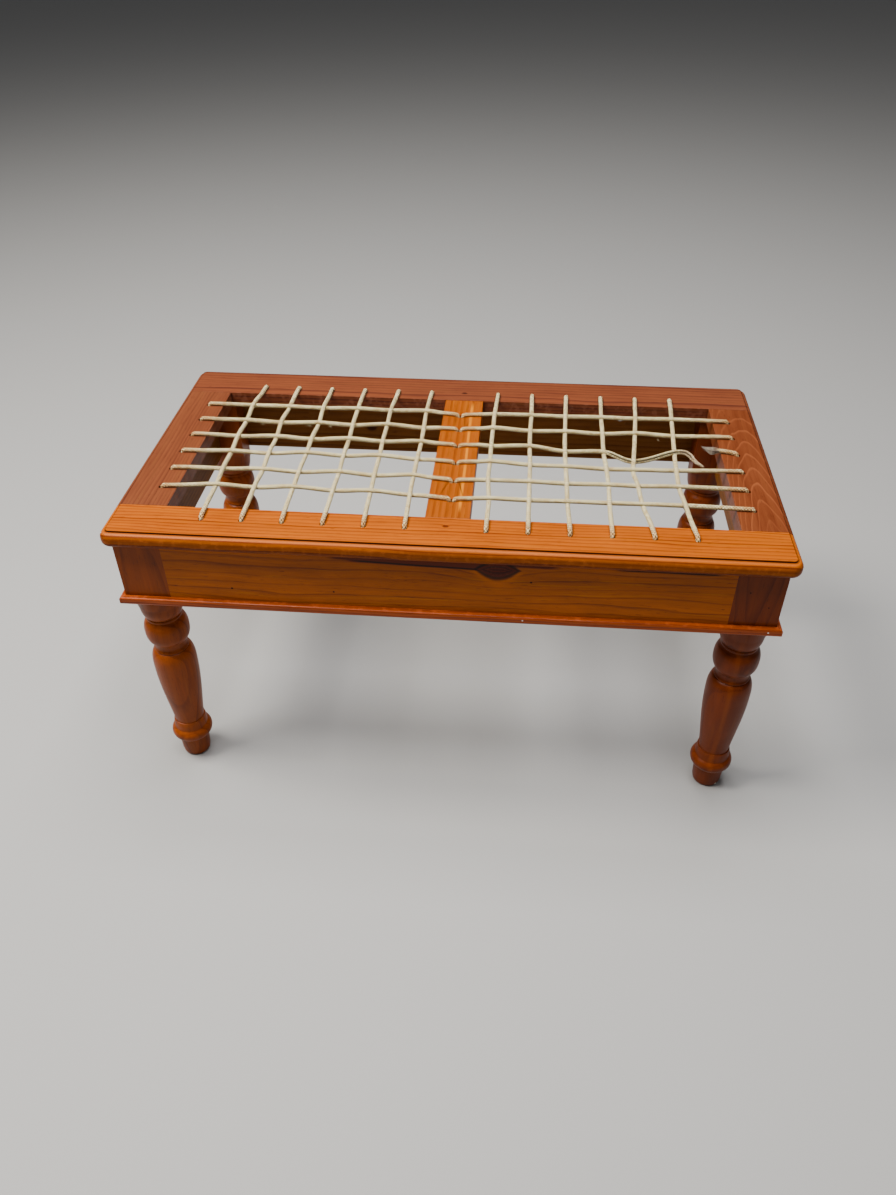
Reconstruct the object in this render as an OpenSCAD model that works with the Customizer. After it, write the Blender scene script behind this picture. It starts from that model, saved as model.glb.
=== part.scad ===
// Low entryway bench: a pine frame on four turned legs, its seat laced with cotton cord.
// X runs along the bench, Y from its front to its back and Z up.
// The origin is on the floor, under the middle of the top frame.

/* [Top frame] */
// Length of the top frame over its moulded edge
top_l = 850; // [830:5:900]
// Depth of the top frame over its moulded edge
top_d = 454; // [446:2:480]
// Height of the rails' upper face above the floor
top_h = 424; // [415:1:460]
// Thickness of the rails
top_t = 22; // [20:1:26]
// Width of the front rail
front_rail_w = 67; // [60:1:72]
// Width of the back rail
back_rail_w = 75.5; // [65:0.5:80]
// Width of the left rail
left_rail_w = 68.5; // [60:0.5:72]
// Width of the right rail
right_rail_w = 64.5; // [60:0.5:72]
// Width of the rail that divides the seat
centre_rail_w = 56; // [50:1:60]

/* [Under-frame] */
// Overhang of the top frame past the aprons
overhang = 11.5; // [8:0.5:16]
// Width of the square leg posts
post_w = 60; // [56:1:64]
// Height of the aprons
apron_h = 92.5; // [80:0.5:96]
// Thickness of the aprons
apron_t = 24; // [18:1:25]
// Height of the bead strip along the aprons' lower edge
bead_h = 11; // [9:0.5:14]
// How far the bead strip stands out
bead_out = 7; // [6:0.5:9]

/* [Lacing] */
// Diameter of the cord
cord_d = 5; // [4:0.1:5.2]
// Diameter of the holes in the rails
hole_d = 7; // [7:0.1:8]
// Distance between two columns of cord
column_pitch = 51; // [48:0.5:51]
// Distance between two rows of cord
row_pitch = 45.2; // [42:0.1:46]

/* [Hidden] */
$fn = 48;

// Top frame: half sizes, the moulded edge and the edges of the two seat openings
half_l = top_l / 2;
half_d = top_d / 2;
under_top = top_h - top_t;
corner_r = 14;
nose_r = 8;
nose_step = 2;
open_front = -half_d + front_rail_w;
open_back = half_d - back_rail_w;
open_left = -half_l + left_rail_w;
open_right = half_l - right_rail_w;
centre_x = 0.5;

// Stub tenons that join the rails, and the aprons to the posts
tenon_t = 8;
tenon_l = 20;
tenon_shoulder = 10;
apron_tenon_gap = 15;

// Under-frame: outer faces of the aprons and posts, and their lower edge
box_x = half_l - overhang;
box_y = half_d - overhang;
post_x = box_x - post_w / 2;
post_y = box_y - post_w / 2;
apron_z = under_top - apron_h;

// Turned legs: radius at the waist of the vase, and how far its belly swells from there to the post's width
waist_r = 20;
swell_r = post_w / 2 - waist_r;

// Dowels, glue blocks, screws and pins
dowel_d = 10;
dowel_l = 28;
dowel_y = box_y - 16;
block_l = 32;
block_w = 20;
screw_d = 4;
screw_head_d = 8;
screw_l = 30;
slot_w = 1;
pin_d = 1.4;
pin_head_d = 2.6;
pin_l = 15;
pin_cover = 1.5;
front_blocks = [-279.5, 0, 279.5];
back_blocks = [-228.5, 0, 228.5];
side_block_y = -3;
pin_xs = [-396, -240, -80, 80, 240, 396];
pin_ys = [-175, -60, 60, 175];

// Lacing: heights of the cord on the rails, under them and at its ends, and the thickness a knot adds round it
cord_z = top_h + cord_d / 2;
stitch_z = under_top - cord_d / 2;
end_z = under_top - 12;
knot_wrap = 3.2;
weave_gap = cord_d + 0.3;
bend_r = 4;
bend_steps = 3;
edge_gap = 1;
pair_gap = cord_d / 2 + 0.2;
first_column = 50;
front_hole_y = -half_d + 42;
back_hole_y = half_d - 54;
left_hole_x = -half_l + 47;
right_hole_x = half_l - 42.5;
back_row_y = 110;
left_xs = [for (c = [5:-1:0]) -first_column - c * column_pitch];
right_xs = [for (c = [0:5]) first_column + c * column_pitch];
row_ys = [for (r = [0:5]) back_row_y - r * row_pitch];
centre_hole_xs = [-2, -1, 0, 1, 2, 3];
centre_hole_ys = [for (r = [0:5]) row_ys[r] - (r == 0 ? 8 : 4)];

// How far each row rises over a column and dips under the next; the columns take the rest of the gap
left_row_lift = [0.4, 1.4, 1.4, 1.6, 1.4, 1.6];
right_row_lift = [0, 1, 1.6, 1, 0.2, 0];

// How far each crossing has crept from the straight grid: columns in X, then rows in Y
left_column_creep = [[-4, -5, -4, -4, -2, -2], [-3, -3, -2, -1, -1, 0], [-1, -1, -1, -2, -1, -2],
    [-3, -1, -1, 0, 0, 1], [-3, -4, -3, -3, -2, -2], [-3, -1, -1, -1, -2, -1]];
right_column_creep = [[-2, -3, -3, -3, -3, 0], [0, -1, -1, 0, 0, 0], [-2, -3, -4, -3, -3, -2],
    [-1, -2, -2, -1, 1, -1], [-4, -7, -14, -16, -14, -9], [-2, -6, -8, -11, -10, -9]];
left_row_creep = [[0, -1, -1, 0, -1, 0], [-3, -2, -3, -2, -1, -3], [0, -1, -1, 0, 0, 0],
    [0, 2, 3, 3, 3, 1], [3, 2, 2, 3, 1, 2], [5, 6, 7, 6, 5, 3]];
right_row_creep = [[-2, -1, -2, 0, -1, 1], [1, -1, -2, -2, 0, -1], [-1, -2, -8, -11, -28, -5],
    [0, -3, -6, -6, -8, -3], [-1, -1, -2, -1, -1, 1], [1, 0, 1, 1, 2, 2]];

// Loose ends of the broken row: the tail past its last crossing, and the stub from its hole
tail_start = [304, 16, cord_z + 1.6];
tail_route = [tail_start, [311, 15, cord_z + 1.4], [317, 9, cord_z + 0.6], [321, 1, cord_z - 1],
    [327, -4, cord_z - 4], [334, -6, cord_z - 7]];
stub_route = [[right_hole_x, row_ys[2], cord_z], [370, 24, cord_z], [358, 26, cord_z],
    [348, 28, cord_z - 1]];

// ---- Cord routes ----

function unit(v) = v / norm(v);

// Replaces a sharp corner of a route with an arc of the cord's bend radius
function corner(p, i) =
    let (
        a = unit(p[i] - p[i - 1]),
        b = unit(p[i + 1] - p[i]),
        turn = acos(min(1, a * b)),
        centre = p[i] + unit(b - a) * bend_r / cos(turn / 2),
        start = p[i] - a * bend_r * tan(turn / 2)
    )
    turn < 40 ? [p[i]] :
    [for (k = [0:bend_steps])
        let (w = turn * k / bend_steps)
        centre + cos(w) * (start - centre) + sin(w) * bend_r * a];

function rounded(p) = [p[0], for (i = [1:len(p) - 2]) each corner(p, i), p[len(p) - 1]];

function reversed(p) = [for (i = [len(p) - 1:-1:0]) p[i]];

// 1 where a row passes over a column, -1 where it passes under: over and under by turns
function row_side(r, c) = (r + c) % 2 == 1 ? 1 : -1;

function row_z(lift, r, c) = cord_z + row_side(r, c) * lift[r];

function column_z(lift, r, c) = cord_z - row_side(r, c) * (weave_gap - lift[r]);

// Point on the straight line from a to b where coordinate k has the value v
function at(a, b, k, v) = a + (b - a) * (v - a[k]) / (b[k] - a[k]);

// A column from its front hole to its back hole, on top of the frame
function column_run(xs, creep, row_creep, lift, c) =
    let (
        front = [xs[c], front_hole_y, cord_z],
        back = [xs[c], back_hole_y, cord_z],
        cross = [for (r = [5:-1:0])
            [xs[c] + creep[c][r], row_ys[r] + row_creep[r][c], column_z(lift, r, c)]],
        enter = at(front, [cross[0].x, cross[0].y, cord_z], 1, open_front + edge_gap),
        leave = at(back, [cross[5].x, cross[5].y, cord_z], 1, open_back - edge_gap)
    )
    [front, enter, each cross, leave, back];

// A row from left to right, on top of the frame
function row_run(left, right, edges, xs, creep, row_creep, lift, r) =
    let (
        cross = [for (c = [0:5])
            [xs[c] + creep[c][r], row_ys[r] + row_creep[r][c], row_z(lift, r, c)]],
        enter = at(left, [cross[0].x, cross[0].y, cord_z], 0, edges[0] + edge_gap),
        leave = at(right, [cross[5].x, cross[5].y, cord_z], 0, edges[1] - edge_gap)
    )
    [left, enter, each cross, leave, right];

function centre_hole(r, side) =
    [centre_hole_xs[r] + side * pair_gap, centre_hole_ys[r], cord_z];

function left_row(r) =
    row_run([left_hole_x, row_ys[r], cord_z], centre_hole(r, -1),
        [open_left, centre_x - centre_rail_w / 2],
        left_xs, left_column_creep, left_row_creep, left_row_lift, r);

function right_row(r) =
    row_run(centre_hole(r, 1), [right_hole_x, row_ys[r], cord_z],
        [centre_x + centre_rail_w / 2, open_right],
        right_xs, right_column_creep, right_row_creep, right_row_lift, r);

function left_column(c) =
    column_run(left_xs, left_column_creep, left_row_creep, left_row_lift, c);

function right_column(c) =
    column_run(right_xs, right_column_creep, right_row_creep, right_row_lift, c);

// Drops a point to the cord's height under the rails
function under(p, z = stitch_z) = [p.x, p.y, z];

// Joins runs end to end, the cord going down one hole and up the next between them
function laced(runs) =
    [for (i = [0:len(runs) - 1])
        let (run = runs[i], last = run[len(run) - 1])
        each [
            if (i > 0) under(run[0]),
            each run,
            if (i < len(runs) - 1) under(last)
        ]];

function knotted(p) = [under(p[0], end_z), each p, under(p[len(p) - 1], end_z)];

function columns_route(left) =
    knotted(laced([for (c = [0:5])
        let (run = left ? left_column(c) : right_column(c))
        c % 2 == 0 ? run : reversed(run)]));

left_rows_route = knotted(laced([for (r = [0:5]) r % 2 == 0 ? left_row(r) : reversed(left_row(r))]));

back_rows = laced([reversed(right_row(0)), right_row(1)]);
right_rows_back_route = [
    under(back_rows[0], end_z), each back_rows, under(back_rows[len(back_rows) - 1]),
    under(stub_route[0]), each stub_route];

broken_row = right_row(2);
kept_row = [tail_start, for (i = [len(broken_row) - 3:-1:0]) broken_row[i]];
right_rows_front = laced([kept_row, right_row(3), reversed(right_row(4)), right_row(5)]);
right_rows_front_route = [each right_rows_front, under(right_rows_front[len(right_rows_front) - 1], end_z)];

// ---- Sweeping ----

function heading(p, i) =
    i == 0 ? unit(p[1] - p[0]) :
    i == len(p) - 1 ? unit(p[i] - p[i - 1]) :
    unit(unit(p[i] - p[i - 1]) + unit(p[i + 1] - p[i]));

function square_to(n, t) = unit(n - (n * t) * t);

// A round cord along a route, as one closed solid
module cord(route, sides = 8) {
    count = len(route);
    dirs = [for (i = [0:count - 1]) heading(route, i)];
    first = square_to(abs(dirs[0].z) < 0.9 ? [0, 0, 1] : [1, 0, 0], dirs[0]);
    ups = [for (i = 0, n = first; i < count; i = i + 1, n = i < count ? square_to(n, dirs[i]) : n) n];
    points = [for (i = [0:count - 1]) for (k = [0:sides - 1])
        let (a = 360 * k / sides)
        route[i] + cord_d / 2 * (cos(a) * ups[i] + sin(a) * cross(dirs[i], ups[i]))];
    walls = [for (i = [0:count - 2]) for (k = [0:sides - 1])
        let (a = i * sides + k, b = i * sides + (k + 1) % sides)
        each [[a, a + sides, b], [b, a + sides, b + sides]]];
    caps = [[for (k = [0:sides - 1]) k], [for (k = [sides - 1:-1:0]) (count - 1) * sides + k]];
    polyhedron(points, concat(walls, caps));
}

// ---- Top frame ----

// Section of the moulded edge, from the corner's centre out to the edge
module nosing() {
    intersection() {
        translate([0, -top_t])
            square([corner_r, top_t]);
        union() {
            translate([0, -top_t])
                square([corner_r - nose_r, top_t]);
            for (y = [-nose_step - nose_r, nose_r - top_t])
                translate([corner_r - nose_r, y])
                    circle(nose_r);
            translate([corner_r - nose_r, nose_r - top_t])
                square([nose_r, top_t - 2 * nose_r - nose_step]);
        }
    }
}

// The moulded edge of a board's right side, between two depths
module side_edge(y0, y1) {
    translate([half_l - corner_r, y1, top_h])
        rotate([90, 0, 0])
            linear_extrude(y1 - y0)
                nosing();
}

// A rail along the whole length, moulded on its outer side and both ends
module long_rail(w) {
    translate([-half_l + corner_r, half_d - w, under_top])
        cube([top_l - 2 * corner_r, w - corner_r, top_t]);
    translate([-half_l + corner_r, half_d - corner_r, top_h])
        rotate([90, 0, 90])
            linear_extrude(top_l - 2 * corner_r)
                nosing();
    for (side = [0, 1])
        mirror([side, 0, 0]) {
            side_edge(half_d - w, half_d - corner_r);
            translate([half_l - corner_r, half_d - corner_r, top_h])
                rotate_extrude(angle = 90)
                    nosing();
        }
}

// A rail between the two long rails, moulded on its outer side
module short_rail(w, front, back) {
    translate([half_l - w, front, under_top])
        cube([w - corner_r, back - front, top_t]);
    side_edge(front, back);
    rail_tenons(half_l - w + tenon_shoulder, half_l - corner_r - tenon_shoulder);
}

// The tenons at both ends of a rail, between two places along X
module rail_tenons(x0, x1) {
    for (y = [open_front - tenon_l, open_back])
        translate([x0, y, under_top + (top_t - tenon_t) / 2])
            cube([x1 - x0, tenon_l, tenon_t]);
}

// All the tenons that enter the long rails
module all_rail_tenons() {
    mirror([1, 0, 0])
        rail_tenons(half_l - left_rail_w + tenon_shoulder, half_l - corner_r - tenon_shoulder);
    rail_tenons(half_l - right_rail_w + tenon_shoulder, half_l - corner_r - tenon_shoulder);
    rail_tenons(centre_x - centre_rail_w / 2 + tenon_shoulder, centre_x + centre_rail_w / 2 - tenon_shoulder);
}

module cord_hole(x, y) {
    translate([x, y, under_top - 1])
        cylinder(d = hole_d, h = top_t + 2);
}

// The holes that a long rail has for the columns
module column_holes(y) {
    for (x = concat(left_xs, right_xs))
        cord_hole(x, y);
}

module top_front_rail() {
    color("#a4602c")
        difference() {
            mirror([0, 1, 0])
                long_rail(front_rail_w);
            all_rail_tenons();
            column_holes(front_hole_y);
            leg_dowels_shape();
            block_screws();
        }
}

module top_back_rail() {
    color("#a4602c")
        difference() {
            long_rail(back_rail_w);
            all_rail_tenons();
            column_holes(back_hole_y);
            leg_dowels_shape();
            block_screws();
        }
}

module top_left_rail() {
    color("#a9683c")
        difference() {
            mirror([1, 0, 0])
                short_rail(left_rail_w, open_front, open_back);
            for (y = row_ys)
                cord_hole(left_hole_x, y);
            block_screws();
        }
}

module top_right_rail() {
    color("#a9632f")
        difference() {
            short_rail(right_rail_w, open_front, open_back);
            for (y = row_ys)
                cord_hole(right_hole_x, y);
            block_screws();
        }
}

// The middle rail, with one long hole for the two cords of each row
module top_centre_rail() {
    color("#b8702f")
        difference() {
            union() {
                translate([centre_x - centre_rail_w / 2, open_front, under_top])
                    cube([centre_rail_w, open_back - open_front, top_t]);
                rail_tenons(centre_x - centre_rail_w / 2 + tenon_shoulder,
                    centre_x + centre_rail_w / 2 - tenon_shoulder);
            }
            for (r = [0:5]) {
                for (side = [-1, 1])
                    cord_hole(centre_hole(r, side).x, centre_hole_ys[r]);
                translate([centre_hole_xs[r] - pair_gap, centre_hole_ys[r] - hole_d / 2, under_top - 1])
                    cube([2 * pair_gap, hole_d, top_t + 2]);
            }
        }
}

// ---- Aprons and legs ----

// The tenons of the front and back aprons, or of the side aprons, inside the posts
module apron_tenons(along_x) {
    x = along_x ? box_x - post_w : box_x - (apron_t + tenon_t) / 2;
    y = along_x ? box_y - (apron_t + tenon_t) / 2 : box_y - post_w;
    size = along_x ? [tenon_l, tenon_t, 0] : [tenon_t, tenon_l, 0];
    for (mx = [0, 1], my = [0, 1])
        mirror([mx, 0, 0])
            mirror([0, my, 0])
                translate([x, y, apron_z + apron_tenon_gap])
                    cube(size + [0, 0, apron_h - 2 * apron_tenon_gap]);
}

module long_apron() {
    difference() {
        union() {
            translate([-box_x + post_w, box_y - apron_t, apron_z])
                cube([2 * (box_x - post_w), apron_t, apron_h]);
            intersection() {
                apron_tenons(true);
                translate([-half_l, 0, 0])
                    cube([top_l, half_d, top_h]);
            }
        }
        children();
    }
}

module side_apron() {
    difference() {
        union() {
            translate([box_x - apron_t, -box_y + post_w, apron_z])
                cube([apron_t, 2 * (box_y - post_w), apron_h]);
            intersection() {
                apron_tenons(false);
                translate([0, -half_d, 0])
                    cube([half_l, top_d, top_h]);
            }
        }
        children();
    }
}

module apron_front() {
    color("#8a5a2a")
        mirror([0, 1, 0])
            long_apron() {
                mirror([0, 1, 0])
                    block_screws();
                bead_pins_shape();
            }
}

module apron_back() {
    color("#8a5a2a")
        long_apron() {
            block_screws();
            bead_pins_shape();
        }
}

module apron_left() {
    color("#86552a")
        mirror([1, 0, 0])
            side_apron() {
                mirror([1, 0, 0])
                    block_screws();
                bead_pins_shape();
            }
}

module apron_right() {
    color("#86552a")
        side_apron() {
            block_screws();
            bead_pins_shape();
        }
}

// Points of a curve from a height and a radius that follow a rule, at steps between 0 and 1
function swell(z0, z1, r0, dr, power, a0, a1, n = 10) =
    [for (i = [0:n])
        let (t = a0 + (a1 - a0) * i / n)
        [r0 + dr * sqrt(max(0, 1 - pow(abs(t), power))), (z0 + z1) / 2 + t * (z1 - z0) / 2]];

// Outline of the turned leg below the post, from the floor up, as wide at most as the post
leg_outline = concat(
    // Foot, a little wider at the top, with an eased arris
    [[0, 0], [17.4, 0], [18.6, 1], [19.4, 3], [20.2, 8], [20.9, 20], [21.3, 35.5]],
    // Round bead over the foot
    swell(36, 56, 20.5, 8.7, 2, -0.97, 0.92),
    // Tapered band and thin ring
    [[23.4, 65], [22.5, 69], [22.2, 70.5]],
    // Vase: slow swell up to its belly, then a tight shoulder
    [for (i = [0:12]) [waist_r + 0.9 + (swell_r - 0.9) * sin(90 * pow(i / 12, 1.15)), 70.6 + 109.4 * i / 12]],
    swell(150, 210, waist_r, swell_r, 3, 0.1, 0.95),
    // Ring
    [[22.6, 209], [23.6, 210], [23.9, 211], [23.6, 212], [22.6, 213]],
    // Neck
    [[22, 215], [21.7, 218], [22, 221], [22.9, 224]],
    // Ball
    swell(223, 264, waist_r, swell_r, 2.4, -0.92, 0.95, 16),
    // Small bead
    [[23, 264.4], [24, 265.6], [24.2, 267], [23.8, 268.6], [22.6, 270]],
    // Quarter-round under the collar
    [for (i = [1:8]) [22.8 + 6 * sin(90 * i / 8), 292 - 22 * cos(90 * i / 8)]],
    // Collar, as wide as the post
    [[post_w / 2, 292.5], [post_w / 2, apron_z], [0, apron_z]]);

module leg(mx, my) {
    color("#7c4522")
        difference() {
            mirror([mx, 0, 0])
                mirror([0, my, 0])
                    translate([post_x, post_y, 0]) {
                        rotate_extrude($fn = 64)
                            polygon(leg_outline);
                        translate([-post_w / 2, -post_w / 2, apron_z])
                            cube([post_w, post_w, apron_h]);
                    }
            apron_tenons(true);
            apron_tenons(false);
            leg_dowels_shape();
            bead_pins_shape();
        }
}

module leg_front_left() {
    leg(1, 1);
}

module leg_front_right() {
    leg(0, 1);
}

module leg_back_left() {
    leg(1, 0);
}

module leg_back_right() {
    leg(0, 0);
}

// ---- Bead strips ----

// Section of the bead strip, standing out along X
module bead_section() {
    ease = 3;
    square([bead_out - ease, bead_h]);
    translate([0, ease])
        square([bead_out, bead_h - 2 * ease]);
    for (y = [ease, bead_h - ease])
        translate([bead_out - ease, y])
            circle(ease);
}

// A mitred strip on the face at a distance from the middle, over a half length
module bead_strip(face, half) {
    outer = half + bead_out;
    color("#9c5a30")
        difference() {
            intersection() {
                translate([face, outer, apron_z])
                    rotate([90, 0, 0])
                        linear_extrude(2 * outer)
                            bead_section();
                translate([0, 0, apron_z])
                    linear_extrude(bead_h)
                        polygon([[face, -half], [face + bead_out, -outer], [face + bead_out, outer],
                            [face, half]]);
            }
            children();
        }
}

module bead_front() {
    rotate([0, 0, -90])
        bead_strip(box_y, box_x)
            rotate([0, 0, 90])
                bead_pins_shape();
}

module bead_back() {
    rotate([0, 0, 90])
        bead_strip(box_y, box_x)
            rotate([0, 0, -90])
                bead_pins_shape();
}

module bead_left() {
    mirror([1, 0, 0])
        bead_strip(box_x, box_y)
            bead_pins_shape();
}

module bead_right() {
    bead_strip(box_x, box_y)
        bead_pins_shape();
}

// ---- Fixings inside the joints ----

module leg_dowels_shape() {
    for (x = [-post_x, post_x], y = [-dowel_y, dowel_y])
        translate([x, y, under_top - dowel_l / 2])
            cylinder(d = dowel_d, h = dowel_l, $fn = 32);
}

// Places of the glue blocks: their middles on the aprons' inner faces, and their turns
block_places = [
    for (x = front_blocks) [x, -box_y + apron_t, 0],
    for (x = back_blocks) [x, box_y - apron_t, 180],
    [-box_x + apron_t, side_block_y, -90],
    [box_x - apron_t, side_block_y, 90]];

// The hole that a countersunk screw fills, pointing up, with the head's face at the origin
module screw_room() {
    head_h = (screw_head_d - screw_d) / 2;
    cylinder(d1 = screw_head_d, d2 = screw_d, h = head_h, $fn = 32);
    translate([0, 0, head_h])
        cylinder(d = screw_d, h = screw_l - head_h, $fn = 32);
}

// The screw itself, with a slot in its head
module screw() {
    difference() {
        screw_room();
        translate([-screw_head_d, -slot_w / 2, -slot_w])
            cube([2 * screw_head_d, slot_w, 2 * slot_w]);
    }
}

// Puts one screw up into the top and one level into the apron at each block
module at_block_screws() {
    for (p = block_places)
        translate([p.x, p.y, under_top - block_w])
            rotate([0, 0, p.z]) {
                translate([block_l / 4, block_w / 2, 0])
                    children();
                translate([-block_l / 4, block_w, block_w / 2])
                    rotate([90, 0, 0])
                        children();
            }
}

module block_screws() {
    at_block_screws()
        screw_room();
}

module top_fixing_blocks() {
    color("#c89a5c")
        difference() {
            for (p = block_places)
                translate([p.x, p.y, under_top - block_w])
                    rotate([0, 0, p.z])
                        translate([-block_l / 2, 0, 0])
                            cube([block_l, block_w, block_w]);
            block_screws();
        }
}

module top_fixing_screws() {
    color("#b9b29a")
        at_block_screws()
            screw();
}

module leg_dowels() {
    color("#d2b07a")
        leg_dowels_shape();
}

// A panel pin pointing along Y, with its head's face at the origin
module pin() {
    rotate([-90, 0, 0]) {
        cylinder(d = pin_head_d, h = 1, $fn = 24);
        cylinder(d = pin_d, h = pin_l, $fn = 24);
    }
}

module bead_pins_shape() {
    for (side = [0, 180])
        rotate([0, 0, side]) {
            for (x = pin_xs)
                translate([x, -box_y - bead_out + pin_cover, apron_z + bead_h / 2])
                    pin();
            for (y = pin_ys)
                translate([-box_x - bead_out + pin_cover, y, apron_z + bead_h / 2])
                    rotate([0, 0, -90])
                        pin();
        }
}

module bead_pins() {
    color("#9a9a98")
        bead_pins_shape();
}

// ---- Lacing ----

module left_columns_cord() {
    color("#e6dcc4")
        cord(rounded(columns_route(true)));
}

module right_columns_cord() {
    color("#e6dcc4")
        cord(rounded(columns_route(false)));
}

module left_rows_cord() {
    color("#ded2b6")
        cord(rounded(left_rows_route));
}

module right_rows_back_cord() {
    color("#ded2b6")
        cord(rounded(right_rows_back_route));
}

module right_rows_front_cord() {
    color("#ded2b6")
        cord(rounded(right_rows_front_route));
}

// The knots that stop each cord's ends under the rails
module cord_end_knots() {
    ends = [
        for (x = [left_xs[0], left_xs[5], right_xs[0], right_xs[5]]) [x, front_hole_y],
        for (x = [left_hole_x, right_hole_x], r = [0, 5]) [x, row_ys[r]]];
    color("#e6dcc4")
        for (p = ends)
            translate([p.x, p.y, stitch_z])
                rotate_extrude()
                    translate([(cord_d + knot_wrap) / 2, 0])
                        circle(d = knot_wrap);
}

module broken_tail() {
    color("#d9cdb0")
        cord(rounded(tail_route));
}

top_front_rail();
top_back_rail();
top_left_rail();
top_right_rail();
top_centre_rail();
apron_front();
apron_back();
apron_left();
apron_right();
leg_front_left();
leg_front_right();
leg_back_left();
leg_back_right();
bead_front();
bead_back();
bead_left();
bead_right();
leg_dowels();
top_fixing_blocks();
top_fixing_screws();
bead_pins();
left_columns_cord();
right_columns_cord();
left_rows_cord();
right_rows_back_cord();
right_rows_front_cord();
cord_end_knots();
broken_tail();
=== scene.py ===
"""Looks of the laced pine bench: varnished wood, braided cotton cord, floor, light and camera."""
import math

import bpy
import numpy as np
from mathutils import Matrix, Vector


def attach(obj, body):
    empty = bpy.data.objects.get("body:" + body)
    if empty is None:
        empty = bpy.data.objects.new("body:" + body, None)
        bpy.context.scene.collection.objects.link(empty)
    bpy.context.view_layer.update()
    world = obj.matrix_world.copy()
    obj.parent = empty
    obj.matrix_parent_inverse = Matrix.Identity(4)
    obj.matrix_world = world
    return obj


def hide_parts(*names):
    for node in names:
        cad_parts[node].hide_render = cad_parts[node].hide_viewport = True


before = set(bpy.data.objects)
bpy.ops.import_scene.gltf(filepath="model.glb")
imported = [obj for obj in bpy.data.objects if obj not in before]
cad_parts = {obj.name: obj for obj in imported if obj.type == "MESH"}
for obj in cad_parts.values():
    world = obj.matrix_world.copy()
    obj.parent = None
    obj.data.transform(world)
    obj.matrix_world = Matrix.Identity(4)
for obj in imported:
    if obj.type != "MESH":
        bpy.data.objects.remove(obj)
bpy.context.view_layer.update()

MM = 0.001

# ---- Camera ----

CAMERA_PLACE = (0.0851698, -1.1234749, 1.0857146)
CAMERA_RIGHT = (0.996532, 0.083063, -0.005022)
CAMERA_UP = (-0.048635, 0.630321, 0.774810)
CAMERA_BACK = (0.067524, -0.771878, 0.632174)
CAMERA_LENS = 28.314


def add_camera():
    data = bpy.data.cameras.new("camera")
    data.lens = CAMERA_LENS
    data.sensor_width = 36
    camera = bpy.data.objects.new("camera", data)
    turn = Matrix((CAMERA_RIGHT, CAMERA_UP, CAMERA_BACK)).transposed().to_4x4()
    camera.matrix_world = Matrix.Translation(CAMERA_PLACE) @ turn
    bpy.context.scene.collection.objects.link(camera)
    bpy.context.scene.camera = camera


add_camera()

# ---- Sizes of the lacing, as in the CAD part, in millimetres ----

TOP_Z = 424
UNDER_Z = 402
HALF_L = 425
HALF_D = 227
CORNER_R = 14
NOSE_R = 8
OPEN_FRONT = -160
OPEN_BACK = 151.5
OPEN_LEFT = -356.5
OPEN_RIGHT = 360.5
CENTRE_LEFT = -27.5
CENTRE_RIGHT = 28.5
CORD_D = 5
CORD_Z = TOP_Z + CORD_D / 2
STITCH_Z = UNDER_Z - CORD_D / 2
END_Z = UNDER_Z - 12
# Cotton cords squash where they cross, so their middles lie nearer than two radii
CROSSING_GAP = 3.6
BEND_R = 4
HOLE_SLACK = 0.8
# How far each row is pulled further over in its outer hole
LEFT_PULL = [0, 1, 1, 0.3, 0, 1]
RIGHT_PULL = [0.5, 1.2, 0, 0.3, 1.2, 0]
EDGE_GAP = 1
PAIR_GAP = CORD_D / 2 + 0.2
FRONT_HOLE_Y = -HALF_D + 42
BACK_HOLE_Y = HALF_D - 54
LEFT_HOLE_X = -HALF_L + 47
RIGHT_HOLE_X = HALF_L - 42.5
LEFT_XS = [-305, -254, -203, -152, -101, -50]
RIGHT_XS = [50, 101, 152, 203, 254, 305]
ROW_YS = [110, 64.8, 19.6, -25.6, -70.8, -116]
CENTRE_HOLE_XS = [-2, -1, 0, 1, 2, 3]
CENTRE_HOLE_YS = [y - (8 if y == ROW_YS[0] else 4) for y in ROW_YS]

# How far each row rises over a column and dips under the next
LEFT_ROW_LIFT = [0.4, 1.4, 1.4, 1.6, 1.4, 1.6]
RIGHT_ROW_LIFT = [0, 1, 1.6, 1, 0.2, 0]

# How far each crossing has crept from the straight grid: columns in X, then rows in Y
LEFT_COLUMN_CREEP = [
    [-4, -5, -4, -4, -2, -2], [-3, -3, -2, -1, -1, 0], [-1, -1, -1, -2, -1, -2],
    [-3, -1, -1, 0, 0, 1], [-3, -4, -3, -3, -2, -2], [-3, -1, -1, -1, -2, -1]]
RIGHT_COLUMN_CREEP = [
    [-2, -3, -3, -3, -3, 0], [0, -1, -1, 0, 0, 0], [-2, -3, -4, -3, -3, -2],
    [-1, -2, -2, -1, 1, -1], [-4, -7, -14, -16, -14, -9], [-2, -6, -8, -11, -10, -9]]
LEFT_ROW_CREEP = [
    [0, -1, -1, 0, -1, 0], [-3, -2, -3, -2, -1, -3], [0, -1, -1, 0, 0, 0],
    [0, 2, 3, 3, 3, 1], [3, 2, 2, 3, 1, 2], [5, 6, 7, 6, 5, 3]]
RIGHT_ROW_CREEP = [
    [-2, -1, -2, 0, -1, 1], [1, -1, -2, -2, 0, -1], [-1, -2, -8, -11, -28, -5],
    [0, -3, -6, -6, -8, -3], [-1, -1, -2, -1, -1, 1], [1, 0, 1, 1, 2, 2]]

TAIL_ROUTE = [
    (304, 16, CORD_Z + 1.6), (311, 15, CORD_Z + 1.4), (317, 9, CORD_Z + 0.6),
    (321, 1, CORD_Z - 1), (327, -4, CORD_Z - 4), (334, -6, CORD_Z - 7)]
STUB_ROUTE = [
    (RIGHT_HOLE_X, ROW_YS[2], CORD_Z), (370, 24, CORD_Z), (358, 26, CORD_Z),
    (348, 28, CORD_Z - 1)]

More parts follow.
